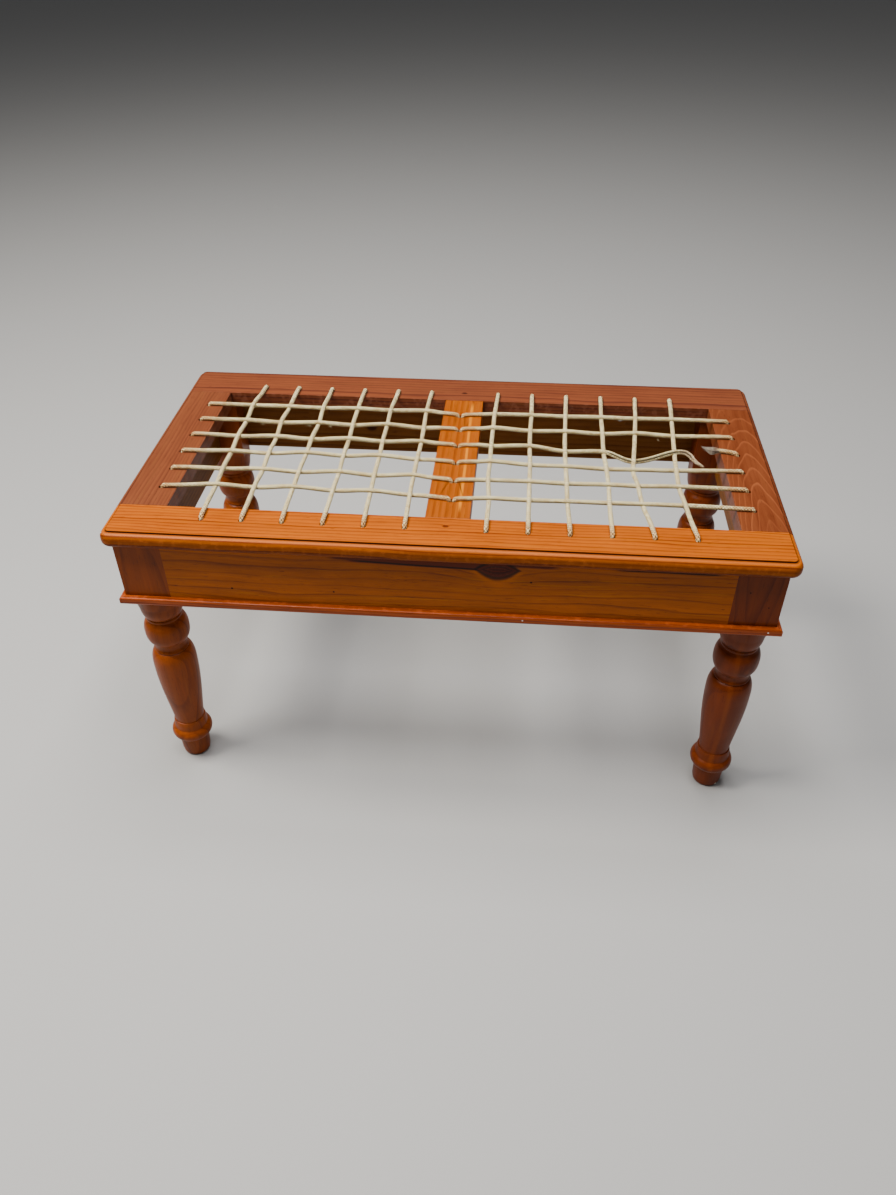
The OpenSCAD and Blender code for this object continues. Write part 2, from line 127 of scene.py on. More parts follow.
RING_GAP = 1.3
CORD_SIDES = 16
BRAID_PITCH = 16
BRAID_STRANDS = 4
BRAID_RELIEF = 0.5
# A cord's closed end bulges out this far
CAP_BULGE = 0.4
SEAM_ANGLE = 0.9
# How gently a split opens and closes along a cord, and how wide its groove and its dark line are
SPLIT_OPENS = 6
SPLIT_CLOSES = 12
GROOVE_WIDTH = 0.42
SPLIT_WIDTH = 0.45

# ---- Cord routes: the same points as the CAD part's, then smoothed ----


def row_side(r, c):
    """1 where a row passes over a column, -1 where it passes under: over and under by turns."""
    return 1 if (r + c) % 2 else -1


def row_z(lift, r, c):
    return CORD_Z + row_side(r, c) * lift[r]


def column_z(lift, r, c):
    return CORD_Z - row_side(r, c) * (CROSSING_GAP - lift[r])


def point_at(a, b, axis, value):
    """Point on the straight line from a to b where the coordinate has the value."""
    a, b = np.array(a, float), np.array(b, float)
    return tuple(a + (b - a) * (value - a[axis]) / (b[axis] - a[axis]))


def column_run(xs, creep, row_creep, lift, c):
    front = (xs[c], FRONT_HOLE_Y, CORD_Z)
    back = (xs[c], BACK_HOLE_Y, CORD_Z)
    cross = [(xs[c] + creep[c][r], ROW_YS[r] + row_creep[r][c], column_z(lift, r, c))
             for r in range(5, -1, -1)]
    enter = point_at(front, (*cross[0][:2], CORD_Z), 1, OPEN_FRONT + EDGE_GAP)
    leave = point_at(back, (*cross[5][:2], CORD_Z), 1, OPEN_BACK - EDGE_GAP)
    return [front, enter, *cross, leave, back]


def row_run(left, right, edges, xs, creep, row_creep, lift, r):
    cross = [(xs[c] + creep[c][r], ROW_YS[r] + row_creep[r][c], row_z(lift, r, c))
             for c in range(6)]
    enter = point_at(left, (*cross[0][:2], CORD_Z), 0, edges[0] + EDGE_GAP)
    leave = point_at(right, (*cross[5][:2], CORD_Z), 0, edges[1] - EDGE_GAP)
    return [left, enter, *cross, leave, right]


def centre_hole(r, side):
    return (CENTRE_HOLE_XS[r] + side * PAIR_GAP, CENTRE_HOLE_YS[r], CORD_Z)


def left_row(r):
    return row_run((LEFT_HOLE_X + LEFT_PULL[r], ROW_YS[r], CORD_Z), centre_hole(r, -1),
                   (OPEN_LEFT, CENTRE_LEFT), LEFT_XS, LEFT_COLUMN_CREEP, LEFT_ROW_CREEP,
                   LEFT_ROW_LIFT, r)


def right_row(r):
    return row_run(centre_hole(r, 1), (RIGHT_HOLE_X - RIGHT_PULL[r], ROW_YS[r], CORD_Z),
                   (CENTRE_RIGHT, OPEN_RIGHT), RIGHT_XS, RIGHT_COLUMN_CREEP, RIGHT_ROW_CREEP,
                   RIGHT_ROW_LIFT, r)


def smooth_run(run, step=1.5):
    """A run's plan as a Catmull-Rom curve and its height as easy waves between its points."""
    p = np.array(run, float)
    gaps = np.linalg.norm(np.diff(p, axis=0), axis=1)
    ends = np.vstack([2 * p[0] - p[1], p, 2 * p[-1] - p[-2]])
    out = [p[0]]
    for i, gap in enumerate(gaps):
        before, a, b, after = ends[i], ends[i + 1], ends[i + 2], ends[i + 3]
        reach = gap / max(1e-6, np.linalg.norm(b - before))
        leave = (b - before) * reach
        reach = gap / max(1e-6, np.linalg.norm(after - a))
        arrive = (after - a) * reach
        for t in np.linspace(0, 1, max(2, int(gap / step)) + 1)[1:]:
            q = ((2 * t ** 3 - 3 * t ** 2 + 1) * a + (t ** 3 - 2 * t ** 2 + t) * leave
                 + (3 * t ** 2 - 2 * t ** 3) * b + (t ** 3 - t ** 2) * arrive)
            q[2] = a[2] + (b[2] - a[2]) * (1 - math.cos(math.pi * t)) / 2
            out.append(q)
    return out


def clear_ends(points, first=True, last=True):
    """Drops the points of a smooth run that lie inside the bends at its holes."""
    keep = []
    for i, q in enumerate(points):
        near_first = first and 0 < i and np.linalg.norm(q - points[0]) < BEND_R + 1
        near_last = last and i < len(points) - 1 and np.linalg.norm(q - points[-1]) < BEND_R + 1
        if not near_first and not near_last:
            keep.append(q)
    return keep


def hug(points, first, last):
    """Moves a run's ends in the holes towards the run: a pulled cord lies against the hole's side."""
    if first:
        ahead = points[6] - points[0]
        points[0] = points[0] + ahead / np.linalg.norm(ahead) * HOLE_SLACK
    if last:
        ahead = points[-7] - points[-1]
        points[-1] = points[-1] + ahead / np.linalg.norm(ahead) * HOLE_SLACK
    return points


def under(point, z=STITCH_Z):
    return np.array([point[0], point[1], z])


def laced(runs, first_end=None, last_end=None, open_start=False, open_end=False):
    """Joins runs end to end, going down one hole and up the next between them."""
    path = []
    for i, run in enumerate(runs):
        free_start = open_start and i == 0
        free_end = open_end and i == len(runs) - 1
        points = clear_ends(hug(smooth_run(run), not free_start, not free_end),
                            not free_start, not free_end)
        if i or first_end:
            path.append(under(points[0], STITCH_Z if i else first_end))
        path.extend(points)
        if i < len(runs) - 1 or last_end:
            path.append(under(points[-1], last_end if i == len(runs) - 1 else STITCH_Z))
    return path


def rounded(points, steps=8):
    """Replaces each sharp corner with an arc of the cord's bend radius."""
    out = [points[0]]
    for before, p, after in zip(points, points[1:], points[2:]):
        a = (p - before) / np.linalg.norm(p - before)
        b = (after - p) / np.linalg.norm(after - p)
        turn = math.acos(max(-1, min(1, float(a @ b))))
        if turn < math.radians(40):
            out.append(p)
            continue
        side = (b - a) / np.linalg.norm(b - a)
        centre = p + side * BEND_R / math.cos(turn / 2)
        start = p - a * BEND_R * math.tan(turn / 2)
        for k in range(steps + 1):
            w = turn * k / steps
            out.append(centre + math.cos(w) * (start - centre) + math.sin(w) * BEND_R * a)
    out.append(points[-1])
    return out


def even(points, gap=RING_GAP):
    """The same line with points at equal distances."""
    p = np.array(points, float)
    along = np.concatenate([[0], np.cumsum(np.linalg.norm(np.diff(p, axis=0), axis=1))])
    count = max(2, int(round(along[-1] / gap)))
    where = np.linspace(0, along[-1], count + 1)
    return np.stack([np.interp(where, along, p[:, k]) for k in range(3)], axis=1)


def flip(run):
    return run[::-1]


def columns_path(xs, creep, row_creep, lift):
    runs = [column_run(xs, creep, row_creep, lift, c) for c in range(6)]
    runs = [run if c % 2 == 0 else flip(run) for c, run in enumerate(runs)]
    return even(rounded(laced(runs, END_Z, END_Z)))


def left_rows_path():
    runs = [left_row(r) if r % 2 == 0 else flip(left_row(r)) for r in range(6)]
    return even(rounded(laced(runs, END_Z, END_Z)))


def right_rows_back_path():
    runs = [flip(right_row(0)), right_row(1), STUB_ROUTE]
    return even(rounded(laced(runs, END_Z, open_end=True)))


def right_rows_front_path():
    broken = right_row(2)
    kept = [TAIL_ROUTE[0], *flip(broken[:-2])]
    runs = [kept, right_row(3), flip(right_row(4)), right_row(5)]
    return even(rounded(laced(runs, last_end=END_Z, open_start=True)))


# ---- Meshes ----


def braid_height(along, angle):
    """How high the braid's surface stands, from 0 in a crease to 1 on a strand's back."""
    turn = BRAID_STRANDS * angle / (2 * math.pi)
    run = BRAID_STRANDS * along / BRAID_PITCH
    p, q = turn + run, turn - run
    over = (np.floor(p) + np.floor(q)) % 2 == 0
    fp, fq = p - np.floor(p) - 0.5, q - np.floor(q) - 0.5
    across, lengthwise = np.where(over, fp, fq), np.where(over, fq, fp)
    return 1 - 2.4 * across ** 2 - 1.6 * lengthwise ** 2


def headings(path):
    t = np.gradient(path, axis=0)
    return t / np.linalg.norm(t, axis=1)[:, None]


def side_vectors(dirs, first=(0, 0, 1)):
    """A vector square to the path at each of its points, carried along without twisting."""
    n = np.array(first, float)
    if abs(n @ dirs[0]) > 0.9:
        n = np.array([1.0, 0, 0])
    ups = np.zeros_like(dirs)
    for i, t in enumerate(dirs):
        n = n - (n @ t) * t
        n = n / np.linalg.norm(n)
        ups[i] = n
    return ups


def tube_parts(path, radius, sides):
    """Vertices, faces and cord places (distance along, cos, sin) of a closed tube."""
    dirs = headings(path)
    ups = side_vectors(dirs)
    rights = np.cross(dirs, ups)
    along = np.concatenate([[0], np.cumsum(np.linalg.norm(np.diff(path, axis=0), axis=1))])
    angle = np.linspace(0, 2 * math.pi, sides, endpoint=False)
    r = radius(along[:, None], angle[None, :])
    ring = (np.cos(angle)[None, :, None] * ups[:, None, :]
            + np.sin(angle)[None, :, None] * rights[:, None, :])
    verts = (path[:, None, :] + r[:, :, None] * ring).reshape(-1, 3)
    places = np.stack([np.broadcast_to(along[:, None], r.shape),
                       np.broadcast_to(np.cos(angle), r.shape),
                       np.broadcast_to(np.sin(angle), r.shape)], axis=2).reshape(-1, 3)
    n = len(path)
    i = np.arange(n - 1)[:, None] * sides
    k = np.arange(sides)[None, :]
    k2 = (k + 1) % sides
    quads = np.stack([i + k, i + k2, i + sides + k2, i + sides + k], axis=2).reshape(-1, 4)
    faces = quads.tolist()
    ends = np.array([path[0] - dirs[0] * CAP_BULGE, path[-1] + dirs[-1] * CAP_BULGE])
    verts = np.vstack([verts, ends])
    places = np.vstack([places, [[along[0], 0, 0], [along[-1], 0, 0]]])
    first, last = n * sides, n * sides + 1
    for k in range(sides):
        j = (k + 1) % sides
        faces.append([first, j, k])
        faces.append([last, (n - 1) * sides + k, (n - 1) * sides + j])
    return verts, faces, places


def split_depth(along, seam):
    """How far the split is open at a place along the cord, from 0 to 1."""
    opening = np.clip((along - seam[0]) / SPLIT_OPENS, 0, 1)
    return opening * np.clip((seam[1] - along) / SPLIT_CLOSES, 0, 1)


def angle_from(angle, middle):
    """The angle from a middle, between half a turn either way."""
    return (angle - middle + math.pi) % (2 * math.pi) - math.pi


def mark_split(piece, seam):
    """Marks the split that runs along a used cord, for its material."""
    mesh = piece.data
    places = np.zeros(len(mesh.vertices) * 3, np.float32)
    mesh.attributes["cord_place"].data.foreach_get("vector", places)
    along, cosine, sine = places.reshape(-1, 3).T
    inside = split_depth(along, seam)
    turned = angle_from(np.arctan2(sine, cosine), seam[2])
    mesh.attributes.new("cord_split", "FLOAT", "POINT")
    mesh.attributes["cord_split"].data.foreach_set(
        "value", (inside * np.exp(-(turned / SPLIT_WIDTH) ** 2)).astype(np.float32))


def mesh_piece(name, parts, material, body="root"):
    """One mesh object from several (vertices, faces, places), in millimetres."""
    verts, faces, places, start = [], [], [], 0
    for v, f, p in parts:
        verts.append(v)
        places.append(p)
        faces.extend([[i + start for i in face] for face in f])
        start += len(v)
    verts, places = np.vstack(verts) * MM, np.vstack(places)
    mesh = bpy.data.meshes.new(name)
    mesh.from_pydata(verts.tolist(), [], faces)
    mesh.attributes.new("cord_place", "FLOAT_VECTOR", "POINT")
    mesh.attributes["cord_place"].data.foreach_set("vector", places.astype(np.float32).ravel())
    mesh.polygons.foreach_set("use_smooth", [True] * len(mesh.polygons))
    mesh.materials.append(material)
    piece = bpy.data.objects.new(name, mesh)
    bpy.context.scene.collection.objects.link(piece)
    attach(piece, body)
    return piece


def cord_radius(seed, seam=None, taper=None):
    """Radius of a used cotton cord: braid relief, a little slack and flatness from place to place.
    seam is the stretch along it that has split into two lobes and the angle it has split at, taper the
    last stretch and its end radius."""
    phases = np.random.default_rng(seed).uniform(0, 2 * math.pi, 4)

    def radius(along, angle):
        slack = (0.07 * np.sin(along / 17 + phases[0]) + 0.05 * np.sin(along / 5.3 + phases[1])
                 + 0.06 * np.cos(2 * angle + along / 40 + phases[2]))
        r = CORD_D / 2 + BRAID_RELIEF - BRAID_RELIEF * (1 - braid_height(along, angle)) + slack
        if seam:
            inside = split_depth(along, seam)
            groove = np.exp(-(angle_from(angle, seam[2]) / GROOVE_WIDTH) ** 2)
            r = r * (1 + inside * (0.14 * np.abs(np.sin(angle - seam[2])) - 0.52 * groove))
        if taper:
            part = np.clip((along - taper[0]) / (taper[1] - taper[0]), 0, 1)
            r = r * (1 - part * (1 - taper[2]))
        return r
    return radius


def fibre(path, width, sides=4):
    """A thin hair along a path, pointed at its far end."""
    path = np.array(path, float)
    length = np.linalg.norm(np.diff(path, axis=0), axis=1).sum()

    def radius(along, angle):
        return width * (1 - 0.75 * along / length) + 0 * angle
    return tube_parts(path, radius, sides)


def frayed_end(root, tip, root_r, belly_r, count, width, seed, curl=0.8, droop=0.0):
    """A leaf-shaped brush of loose fibres from a cord's end to its tip."""
    rng = np.random.default_rng(seed)
    root, tip = np.array(root, float), np.array(tip, float)
    line = tip - root
    size = np.linalg.norm(line)
    line = line / size
    side = np.cross(line, (0, 0, 1.0))
    side = side / np.linalg.norm(side)
    up = np.cross(side, line)
    out = []
    for _ in range(count):
        a, spread = rng.uniform(0, 2 * math.pi), math.sqrt(rng.uniform(0, 1))
        reach = rng.uniform(0.55, 1.0)
        wobble = rng.uniform(-curl, curl, 2)
        points = []
        for t in np.linspace(0, 1, 9):
            s = t * reach
            full = (s / 0.3) ** 0.8 if s < 0.3 else max(0, 1 - (s - 0.3) / 0.7) ** 0.85
            leaf = root_r * (1 - s) + (belly_r - root_r) * full
            off = spread * leaf
            points.append(root + line * size * s
                          + side * (off * math.cos(a) + wobble[0] * math.sin(4 * s + a) + droop * full)
                          + up * 0.6 * (off * math.sin(a) + wobble[1] * math.sin(5 * s)))
        out.append(fibre(points, width * rng.uniform(0.6, 1.2)))
    return out


def hairs(path, per_mm, seed, length=1.6):
    """Short stray fibres that stand off a used cord."""
    rng = np.random.default_rng(seed)
    dirs = headings(path)
    out = []
    total = RING_GAP * len(path)
    for _ in range(int(total * per_mm)):
        i = rng.integers(4, len(path) - 4)
        n = rng.normal(size=3)
        n = n - (n @ dirs[i]) * dirs[i]
        n = n / np.linalg.norm(n)
        lean = dirs[i] * rng.uniform(-1, 1)
        start = path[i] + n * (CORD_D / 2 - 0.25)
        size = length * rng.uniform(0.4, 1)
        middle = start + (n + 0.4 * lean) * size * 0.5
        end = middle + (0.6 * n + lean) * size * 0.5
        out.append(fibre([start, middle, end], 0.07, 3))
    return out


def fluff(place, size, count, seed):
    """A small tangle of caught fibres."""
    rng = np.random.default_rng(seed)
    out = []
    for _ in range(count):
        start = np.array(place) + rng.normal(size=3) * size * 0.25
        points = [start]
        step = rng.normal(size=3)
        for _ in range(5):
            step = step * 0.5 + rng.normal(size=3)
            points.append(points[-1] + step / np.linalg.norm(step) * size * 0.3)
        out.append(fibre(points, 0.3))
    return out


def end_knot(place, seed):
    """A tight knot round a cord's end, under its rail."""
    x, y = place
    turn = np.random.default_rng(seed).uniform(0, 2 * math.pi)
    path = []
    for t in np.linspace(0, 1, 60):
        w = turn + t * 2 * math.pi * 1.55
        r = 3.3 + 0.5 * math.sin(3 * w)
        z = UNDER_Z - 2.6 - 2.6 * t + 0.5 * math.sin(2 * w)
        path.append([x + r * math.cos(w), y + r * math.sin(w), z])
    return tube_parts(np.array(path), lambda along, angle: 1.9 + 0 * along + 0.25 * (
        braid_height(along, angle) - 1), 12)


# ---- Shader nodes ----


class Net:
    """Builds one material's shader nodes."""

    def __init__(self, name):
        self.material = bpy.data.materials.new(name)
        self.material.use_nodes = True
        self.tree = self.material.node_tree
        self.shader = self.tree.nodes["Principled BSDF"]

    def put(self, socket, value):
        if isinstance(value, bpy.types.NodeSocket):
            self.tree.links.new(value, socket)
        else:
            socket.default_value = value

    def add(self, kind, inputs, **settings):
        node = self.tree.nodes.new(kind)
        for key, value in settings.items():
            setattr(node, key, value)
        for key, value in inputs.items():
            self.put(node.inputs[key], value)
        return node

    def math(self, operation, *values, clamp=False):
        node = self.add("ShaderNodeMath", dict(enumerate(values)), operation=operation)
        node.use_clamp = clamp
        return node.outputs[0]

    def total(self, *values):
        out = values[0]
        for value in values[1:]:
            out = self.math("ADD", out, value)
        return out

    def product(self, *values):
        out = values[0]
        for value in values[1:]:
            out = self.math("MULTIPLY", out, value)
        return out

    def fade(self, value, low, high):
        """0 below low and 1 above high, or the other way round where low is the larger."""
        inputs = {0: value, 1: low, 2: high, 3: 0.0, 4: 1.0}
        if low > high:
            inputs.update({1: high, 2: low, 3: 1.0, 4: 0.0})
        node = self.add("ShaderNodeMapRange", inputs, interpolation_type="SMOOTHSTEP")
        return node.outputs[0]

    def mix(self, amount, a, b):
        node = self.tree.nodes.new("ShaderNodeMix")
        node.data_type = "RGBA"
        self.put(node.inputs[0], amount)
        self.put(node.inputs[6], self.colour(a))
        self.put(node.inputs[7], self.colour(b))
        return node.outputs[2]

    def colour(self, value):
        return (*value, 1.0) if isinstance(value, tuple) and len(value) == 3 else value

    def ramp(self, value, stops):
        node = self.add("ShaderNodeValToRGB", {0: value})
        elements = node.color_ramp.elements
        while len(elements) < len(stops):
            elements.new(0.5)
        for element, (place, grey) in zip(elements, stops):
            element.position = place
            element.color = (grey, grey, grey, 1)
        return node.outputs[0]

    def join(self, x, y, z):
        return self.add("ShaderNodeCombineXYZ", {0: x, 1: y, 2: z}).outputs[0]

    def split(self, vector):
        return list(self.add("ShaderNodeSeparateXYZ", {0: vector}).outputs)

    def noise(self, vector, scale=1.0, detail=2.0, rough=0.5):
        node = self.add("ShaderNodeTexNoise", {"Vector": vector, "Scale": scale,
                                               "Detail": detail, "Roughness": rough})
        return node.outputs[0], node.outputs[1]

    def bump(self, height, strength, distance):
        inputs = {"Height": height, "Strength": strength, "Distance": distance}
        return self.add("ShaderNodeBump", inputs).outputs[0]


def place_mm(net, axes):
    """Object coordinates in millimetres, reordered to along the grain, across it and into it."""
    coordinates = net.add("ShaderNodeTexCoord", {}).outputs["Object"]
    scaled = net.add("ShaderNodeVectorMath", {0: coordinates, 3: 1000.0}, operation="SCALE")
    xyz = dict(zip("xyz", net.split(scaled.outputs[0])))
    return xyz, [xyz[axis] for axis in axes]


def oval(net, a, b, at, size):
    """Squared distance from a point, in units of the oval's half sizes."""
    u = net.math("DIVIDE", net.math("SUBTRACT", a, at[0]), size[0])
    v = net.math("DIVIDE", net.math("SUBTRACT", b, at[1]), size[1])
    return net.total(net.product(u, u), net.product(v, v))


def lens(net, a, b, at, size):
    """Like oval, for an eye shape with its two points along the grain."""
    u = net.math("DIVIDE", net.math("SUBTRACT", a, at[0]), size[0])
    v = net.math("DIVIDE", net.math("SUBTRACT", b, at[1]), size[1])
    return net.total(net.product(u, u), net.math("POWER", net.product(v, v), 0.4))


def moulding_distance(net, xyz):
    """Distance outwards from the moulded edge's step, which runs round the top with round corners."""
    qx = net.math("SUBTRACT", net.math("ABSOLUTE", xyz["x"]), HALF_L - CORNER_R)
    qy = net.math("SUBTRACT", net.math("ABSOLUTE", xyz["y"]), HALF_D - CORNER_R)
    out_x, out_y = net.math("MAXIMUM", qx, 0.0), net.math("MAXIMUM", qy, 0.0)
    corner = net.math("SQRT", net.total(net.product(out_x, out_x), net.product(out_y, out_y)))
    inner = net.math("MINIMUM", net.math("MAXIMUM", qx, qy), 0.0)
    return net.total(corner, inner, float(NOSE_R - CORNER_R))


def wood(name, axes, pale, dark, pith=(-90.0, -50.0), tilt=(0.0, 0.0), pitch=4.5, wave=3.0,
         contrast=0.75, knots=(), streaks=(), spots=(), edges=(), seed=0.0, coat=0.05, rough=0.38,
         bump=0.25, stain=0.35, crevice=None, moulded=False, ink=None, glow=0.35,
         joints=(), line=0.45, sheen=0.22, pointed=False):
    """Pine whose growth rings are tubes round a pith line, seen through a stain and varnish.
    axes orders x, y and z as along, across and into the board. knots are (along, across, half length,
    half width, push); streaks (along 0, along 1, across, half width, slope, colour, amount); spots
    (x, y, z, radius, colour); edges (axis, place) are arrises painted lighter, rubbed varnish on the
    top boards and a painted highlight along the beads' top edge; all are in millimetres."""
    net = Net(name)
    ink = ink or dark
    xyz, (l, w, t) = place_mm(net, axes)
    offset = net.math("ADD", l, seed * 977.0)
    slow = net.join(net.product(offset, 0.0045), net.product(w, 0.028), net.product(t, 0.028))
    _, warp = net.noise(slow, 1.0, 2.0, 0.5)
    warp_w, warp_t, _ = net.split(warp)
    w2 = net.total(w, net.product(net.math("SUBTRACT", warp_w, 0.5), wave * 4))
    t2 = net.total(t, net.product(net.math("SUBTRACT", warp_t, 0.5), wave * 4))
    from_w = net.math("SUBTRACT", w2, net.total(net.product(l, tilt[0]), pith[0]))
    from_t = net.math("SUBTRACT", t2, net.total(net.product(l, tilt[1]), pith[1]))
    depth = net.math("SQRT", net.total(net.product(from_w, from_w), net.product(from_t, from_t)))
    for along, across, half_l, half_w, push in knots:
        near = oval(net, l, w, (along, across), (half_l * 2.0, half_w * 2.0))
        depth = net.total(depth, net.product(net.math("EXPONENT", net.product(near, -1.0)), push))

    # Growth rings: a soft pale spring band, then a sharp dark summer line
    rings = net.math("DIVIDE", depth, pitch)
    ring_part = net.math("FRACT", rings)
    late = net.ramp(ring_part, [(0.0, 0.0), (line, 0.10), (line + 0.7 * (0.94 - line), 0.75),
                                (0.94, 1.0), (1.0, 0.02)])
    each = net.add("ShaderNodeTexWhiteNoise", {"W": net.math("FLOOR", rings)},
                   noise_dimensions="1D").outputs[0]
    late = net.product(late, net.total(net.product(each, 0.8), 0.35))

    # Fibres along the grain, broad streaks and patches where the stain took more or less
    fine, _ = net.noise(net.join(net.product(offset, 0.035), net.product(w2, 1.7),
                                 net.product(t2, 1.7)), 1.0, 3.0, 0.6)
    broad, _ = net.noise(net.join(net.product(offset, 0.006), net.product(w2, 0.16),
                                  net.product(t2, 0.16)), 1.0, 3.0, 0.55)
    patch, _ = net.noise(net.join(net.product(offset, 0.012), net.product(w, 0.03),
                                  net.product(t, 0.03)), 1.0, 3.0, 0.6)
    amount = net.total(net.product(late, contrast),
                       net.product(net.math("SUBTRACT", fine, 0.5), 0.55),
                       net.product(net.math("SUBTRACT", broad, 0.5), 1.0),
                       net.product(net.math("SUBTRACT", patch, 0.5), stain * 2))
    amount = net.math("ADD", amount, 0.18, clamp=True)
    colour = net.mix(amount, pale, dark)
    warm = net.product(net.fade(broad, 0.52, 0.72), glow)
    colour = net.mix(warm, colour, (min(1.0, pale[0] * 1.2), pale[1] * 1.45, pale[2] * 1.2))

    # Resin ducts: short dark dashes
    dash, _ = net.noise(net.join(net.product(offset, 0.09), net.product(w2, 1.1),
                                 net.product(t2, 1.1)), 1.0, 0.0, 0.5)
    ducts = net.fade(dash, 0.73, 0.80)
    colour = net.mix(net.product(ducts, 0.45), colour, tuple(c * 0.35 for c in ink))

    for start, end, across, half_w, slope, tint, strength in streaks:
        centre = net.total(net.product(l, slope), across - slope * start)
        off = net.math("ABSOLUTE", net.math("SUBTRACT", net.total(w, net.product(
            net.math("SUBTRACT", warp_w, 0.5), 6.0)), centre))
        soft = net.fade(off, half_w, half_w * 0.25)
        reach = min(25.0, (end - start) * 0.4)
        inside = net.product(net.fade(l, start, start + reach), net.fade(l, end, end - reach))
        broken = net.total(net.product(fine, 0.5), 0.7)
        level = net.math("MULTIPLY", net.product(soft, inside, broken), strength, clamp=True)
        colour = net.mix(level, colour, tint)

    hollow = None
    for along, across, half_l, half_w, push in knots:
        ragged = net.total(net.product(net.math("SUBTRACT", patch, 0.5), 1.6),
                           net.product(net.math("SUBTRACT", fine, 0.5), 0.8))
        far = net.total(oval(net, l, w, (along, across), (half_l, half_w)), ragged)
        if pointed:
            far = net.total(lens(net, l, w, (along, across), (half_l, half_w)),
                            net.product(ragged, 0.25))
        if pointed:
            below = net.fade(w, across - 1.0, across - 5.0)
            glowing = net.product(net.fade(far, 2.0, 1.4), below, 0.7)
            colour = net.mix(glowing, colour, tuple(c * 1.25 for c in pale))
        else:
            halo = net.fade(far, 3.6, 0.9)
            colour = net.mix(net.product(halo, 0.5), colour, tuple(c * 0.5 for c in ink))
        turns = net.math("FRACT", net.product(net.math("SQRT", net.math("MAXIMUM", far, 0.0)), 3.2))
        heart = net.mix(turns, tuple(c * 0.25 for c in ink), tuple(c * 1.1 for c in ink))
        flecks, _ = net.noise(net.join(xyz["x"], xyz["y"], xyz["z"]), 0.45, 2.0, 0.7)
        heart = net.mix(net.product(net.fade(flecks, 0.60, 0.72), 0.6), heart, KNOT_FLECK)
        inside = net.fade(far, 1.15, 0.8)
        colour = net.mix(inside, colour, heart)
        rim = net.product(net.fade(far, 0.7, 1.0), net.fade(far, 1.4, 1.05))
        colour = net.mix(net.product(rim, 0.85), colour, tuple(c * 0.12 for c in ink))
        hollow = rim if hollow is None else net.total(hollow, rim)

    # Arrises painted lighter and rougher in patches: rubbed varnish on the top boards, and a painted
    # highlight along the beads' top edge.
    wear_and_highlight = None
    if edges:
        wear_and_highlight_noise, _ = net.noise(net.join(net.product(xyz["x"], 0.11), net.product(xyz["y"], 0.11),
                                    net.product(xyz["z"], 0.11)), 1.0, 3.0, 0.65)
        patchy = net.fade(wear_and_highlight_noise, 0.47, 0.66)
        for axis, place in edges:
            near = net.fade(net.math("ABSOLUTE", net.math("SUBTRACT", xyz[axis], place)), 1.6, 0.3)
            level = net.product(near, patchy)
            wear_and_highlight = level if wear_and_highlight is None else net.math("MAXIMUM", wear_and_highlight, level)
        colour = net.mix(net.product(wear_and_highlight, 0.35), colour, tuple(min(1.0, c * 1.5 + 0.03) for c in pale))

    for place in joints:
        near = net.fade(net.math("ABSOLUTE", net.math("SUBTRACT", l, place)), 0.9, 0.3)
        colour = net.mix(net.product(near, 0.7), colour, tuple(c * 0.2 for c in ink))

    if moulded:
        inset = moulding_distance(net, xyz)
        upper = net.fade(xyz["z"], 419.5, 421.0)
        # Painted shade: a thin dark line along the moulding's step, broken in places by the broad grain
        # noise.
        dirt_and_shade = net.product(net.fade(net.math("ABSOLUTE", inset), 0.9, 0.3), upper)
        thin = net.total(0.55, net.product(broad, 0.6))
        colour = net.mix(net.product(dirt_and_shade, thin), colour, tuple(c * 0.22 for c in ink))
        # Painted shade: the nosing beyond the step is darker than the top.
        painted_nosing_shade = net.product(net.fade(inset, 0.2, 1.0), 0.30)
        colour = net.mix(painted_nosing_shade, colour, tuple(c * 0.25 for c in pale))
        # Painted highlight: a lighter band along the crown of the nosing's round-over.
        crown_highlight = net.product(net.fade(inset, 1.2, 3.0), net.fade(inset, 6.4, 4.6), upper)
        colour = net.mix(net.product(crown_highlight, 0.55), colour, tuple(min(1.0, c * 1.3) for c in pale))

    if crevice:
        # Painted shade: darker where ambient occlusion finds surfaces near, in the legs' turned grooves
        # and round the cords and joints of the top boards; in the legs' grooves it also stands for
        # stain pooled there.
        open_sky = net.add("ShaderNodeAmbientOcclusion", {"Distance": crevice * MM}, samples=6)
        closed = net.fade(open_sky.outputs["AO"], 0.85, 0.35)
        colour = net.mix(net.product(closed, 0.6), colour, tuple(c * 0.3 for c in ink))

    chipped = None
    for x, y, z, radius, tint in spots:
        gap = net.add("ShaderNodeVectorMath", {0: net.join(xyz["x"], xyz["y"], xyz["z"]),
                                               1: (x, y, z)}, operation="DISTANCE").outputs["Value"]
        grit = net.product(net.math("SUBTRACT", fine, 0.5), radius)
        hit = net.fade(net.math("ADD", gap, grit), radius, radius * 0.75)
        colour = net.mix(hit, colour, tint)
        chipped = hit if chipped is None else net.math("MAXIMUM", chipped, hit)

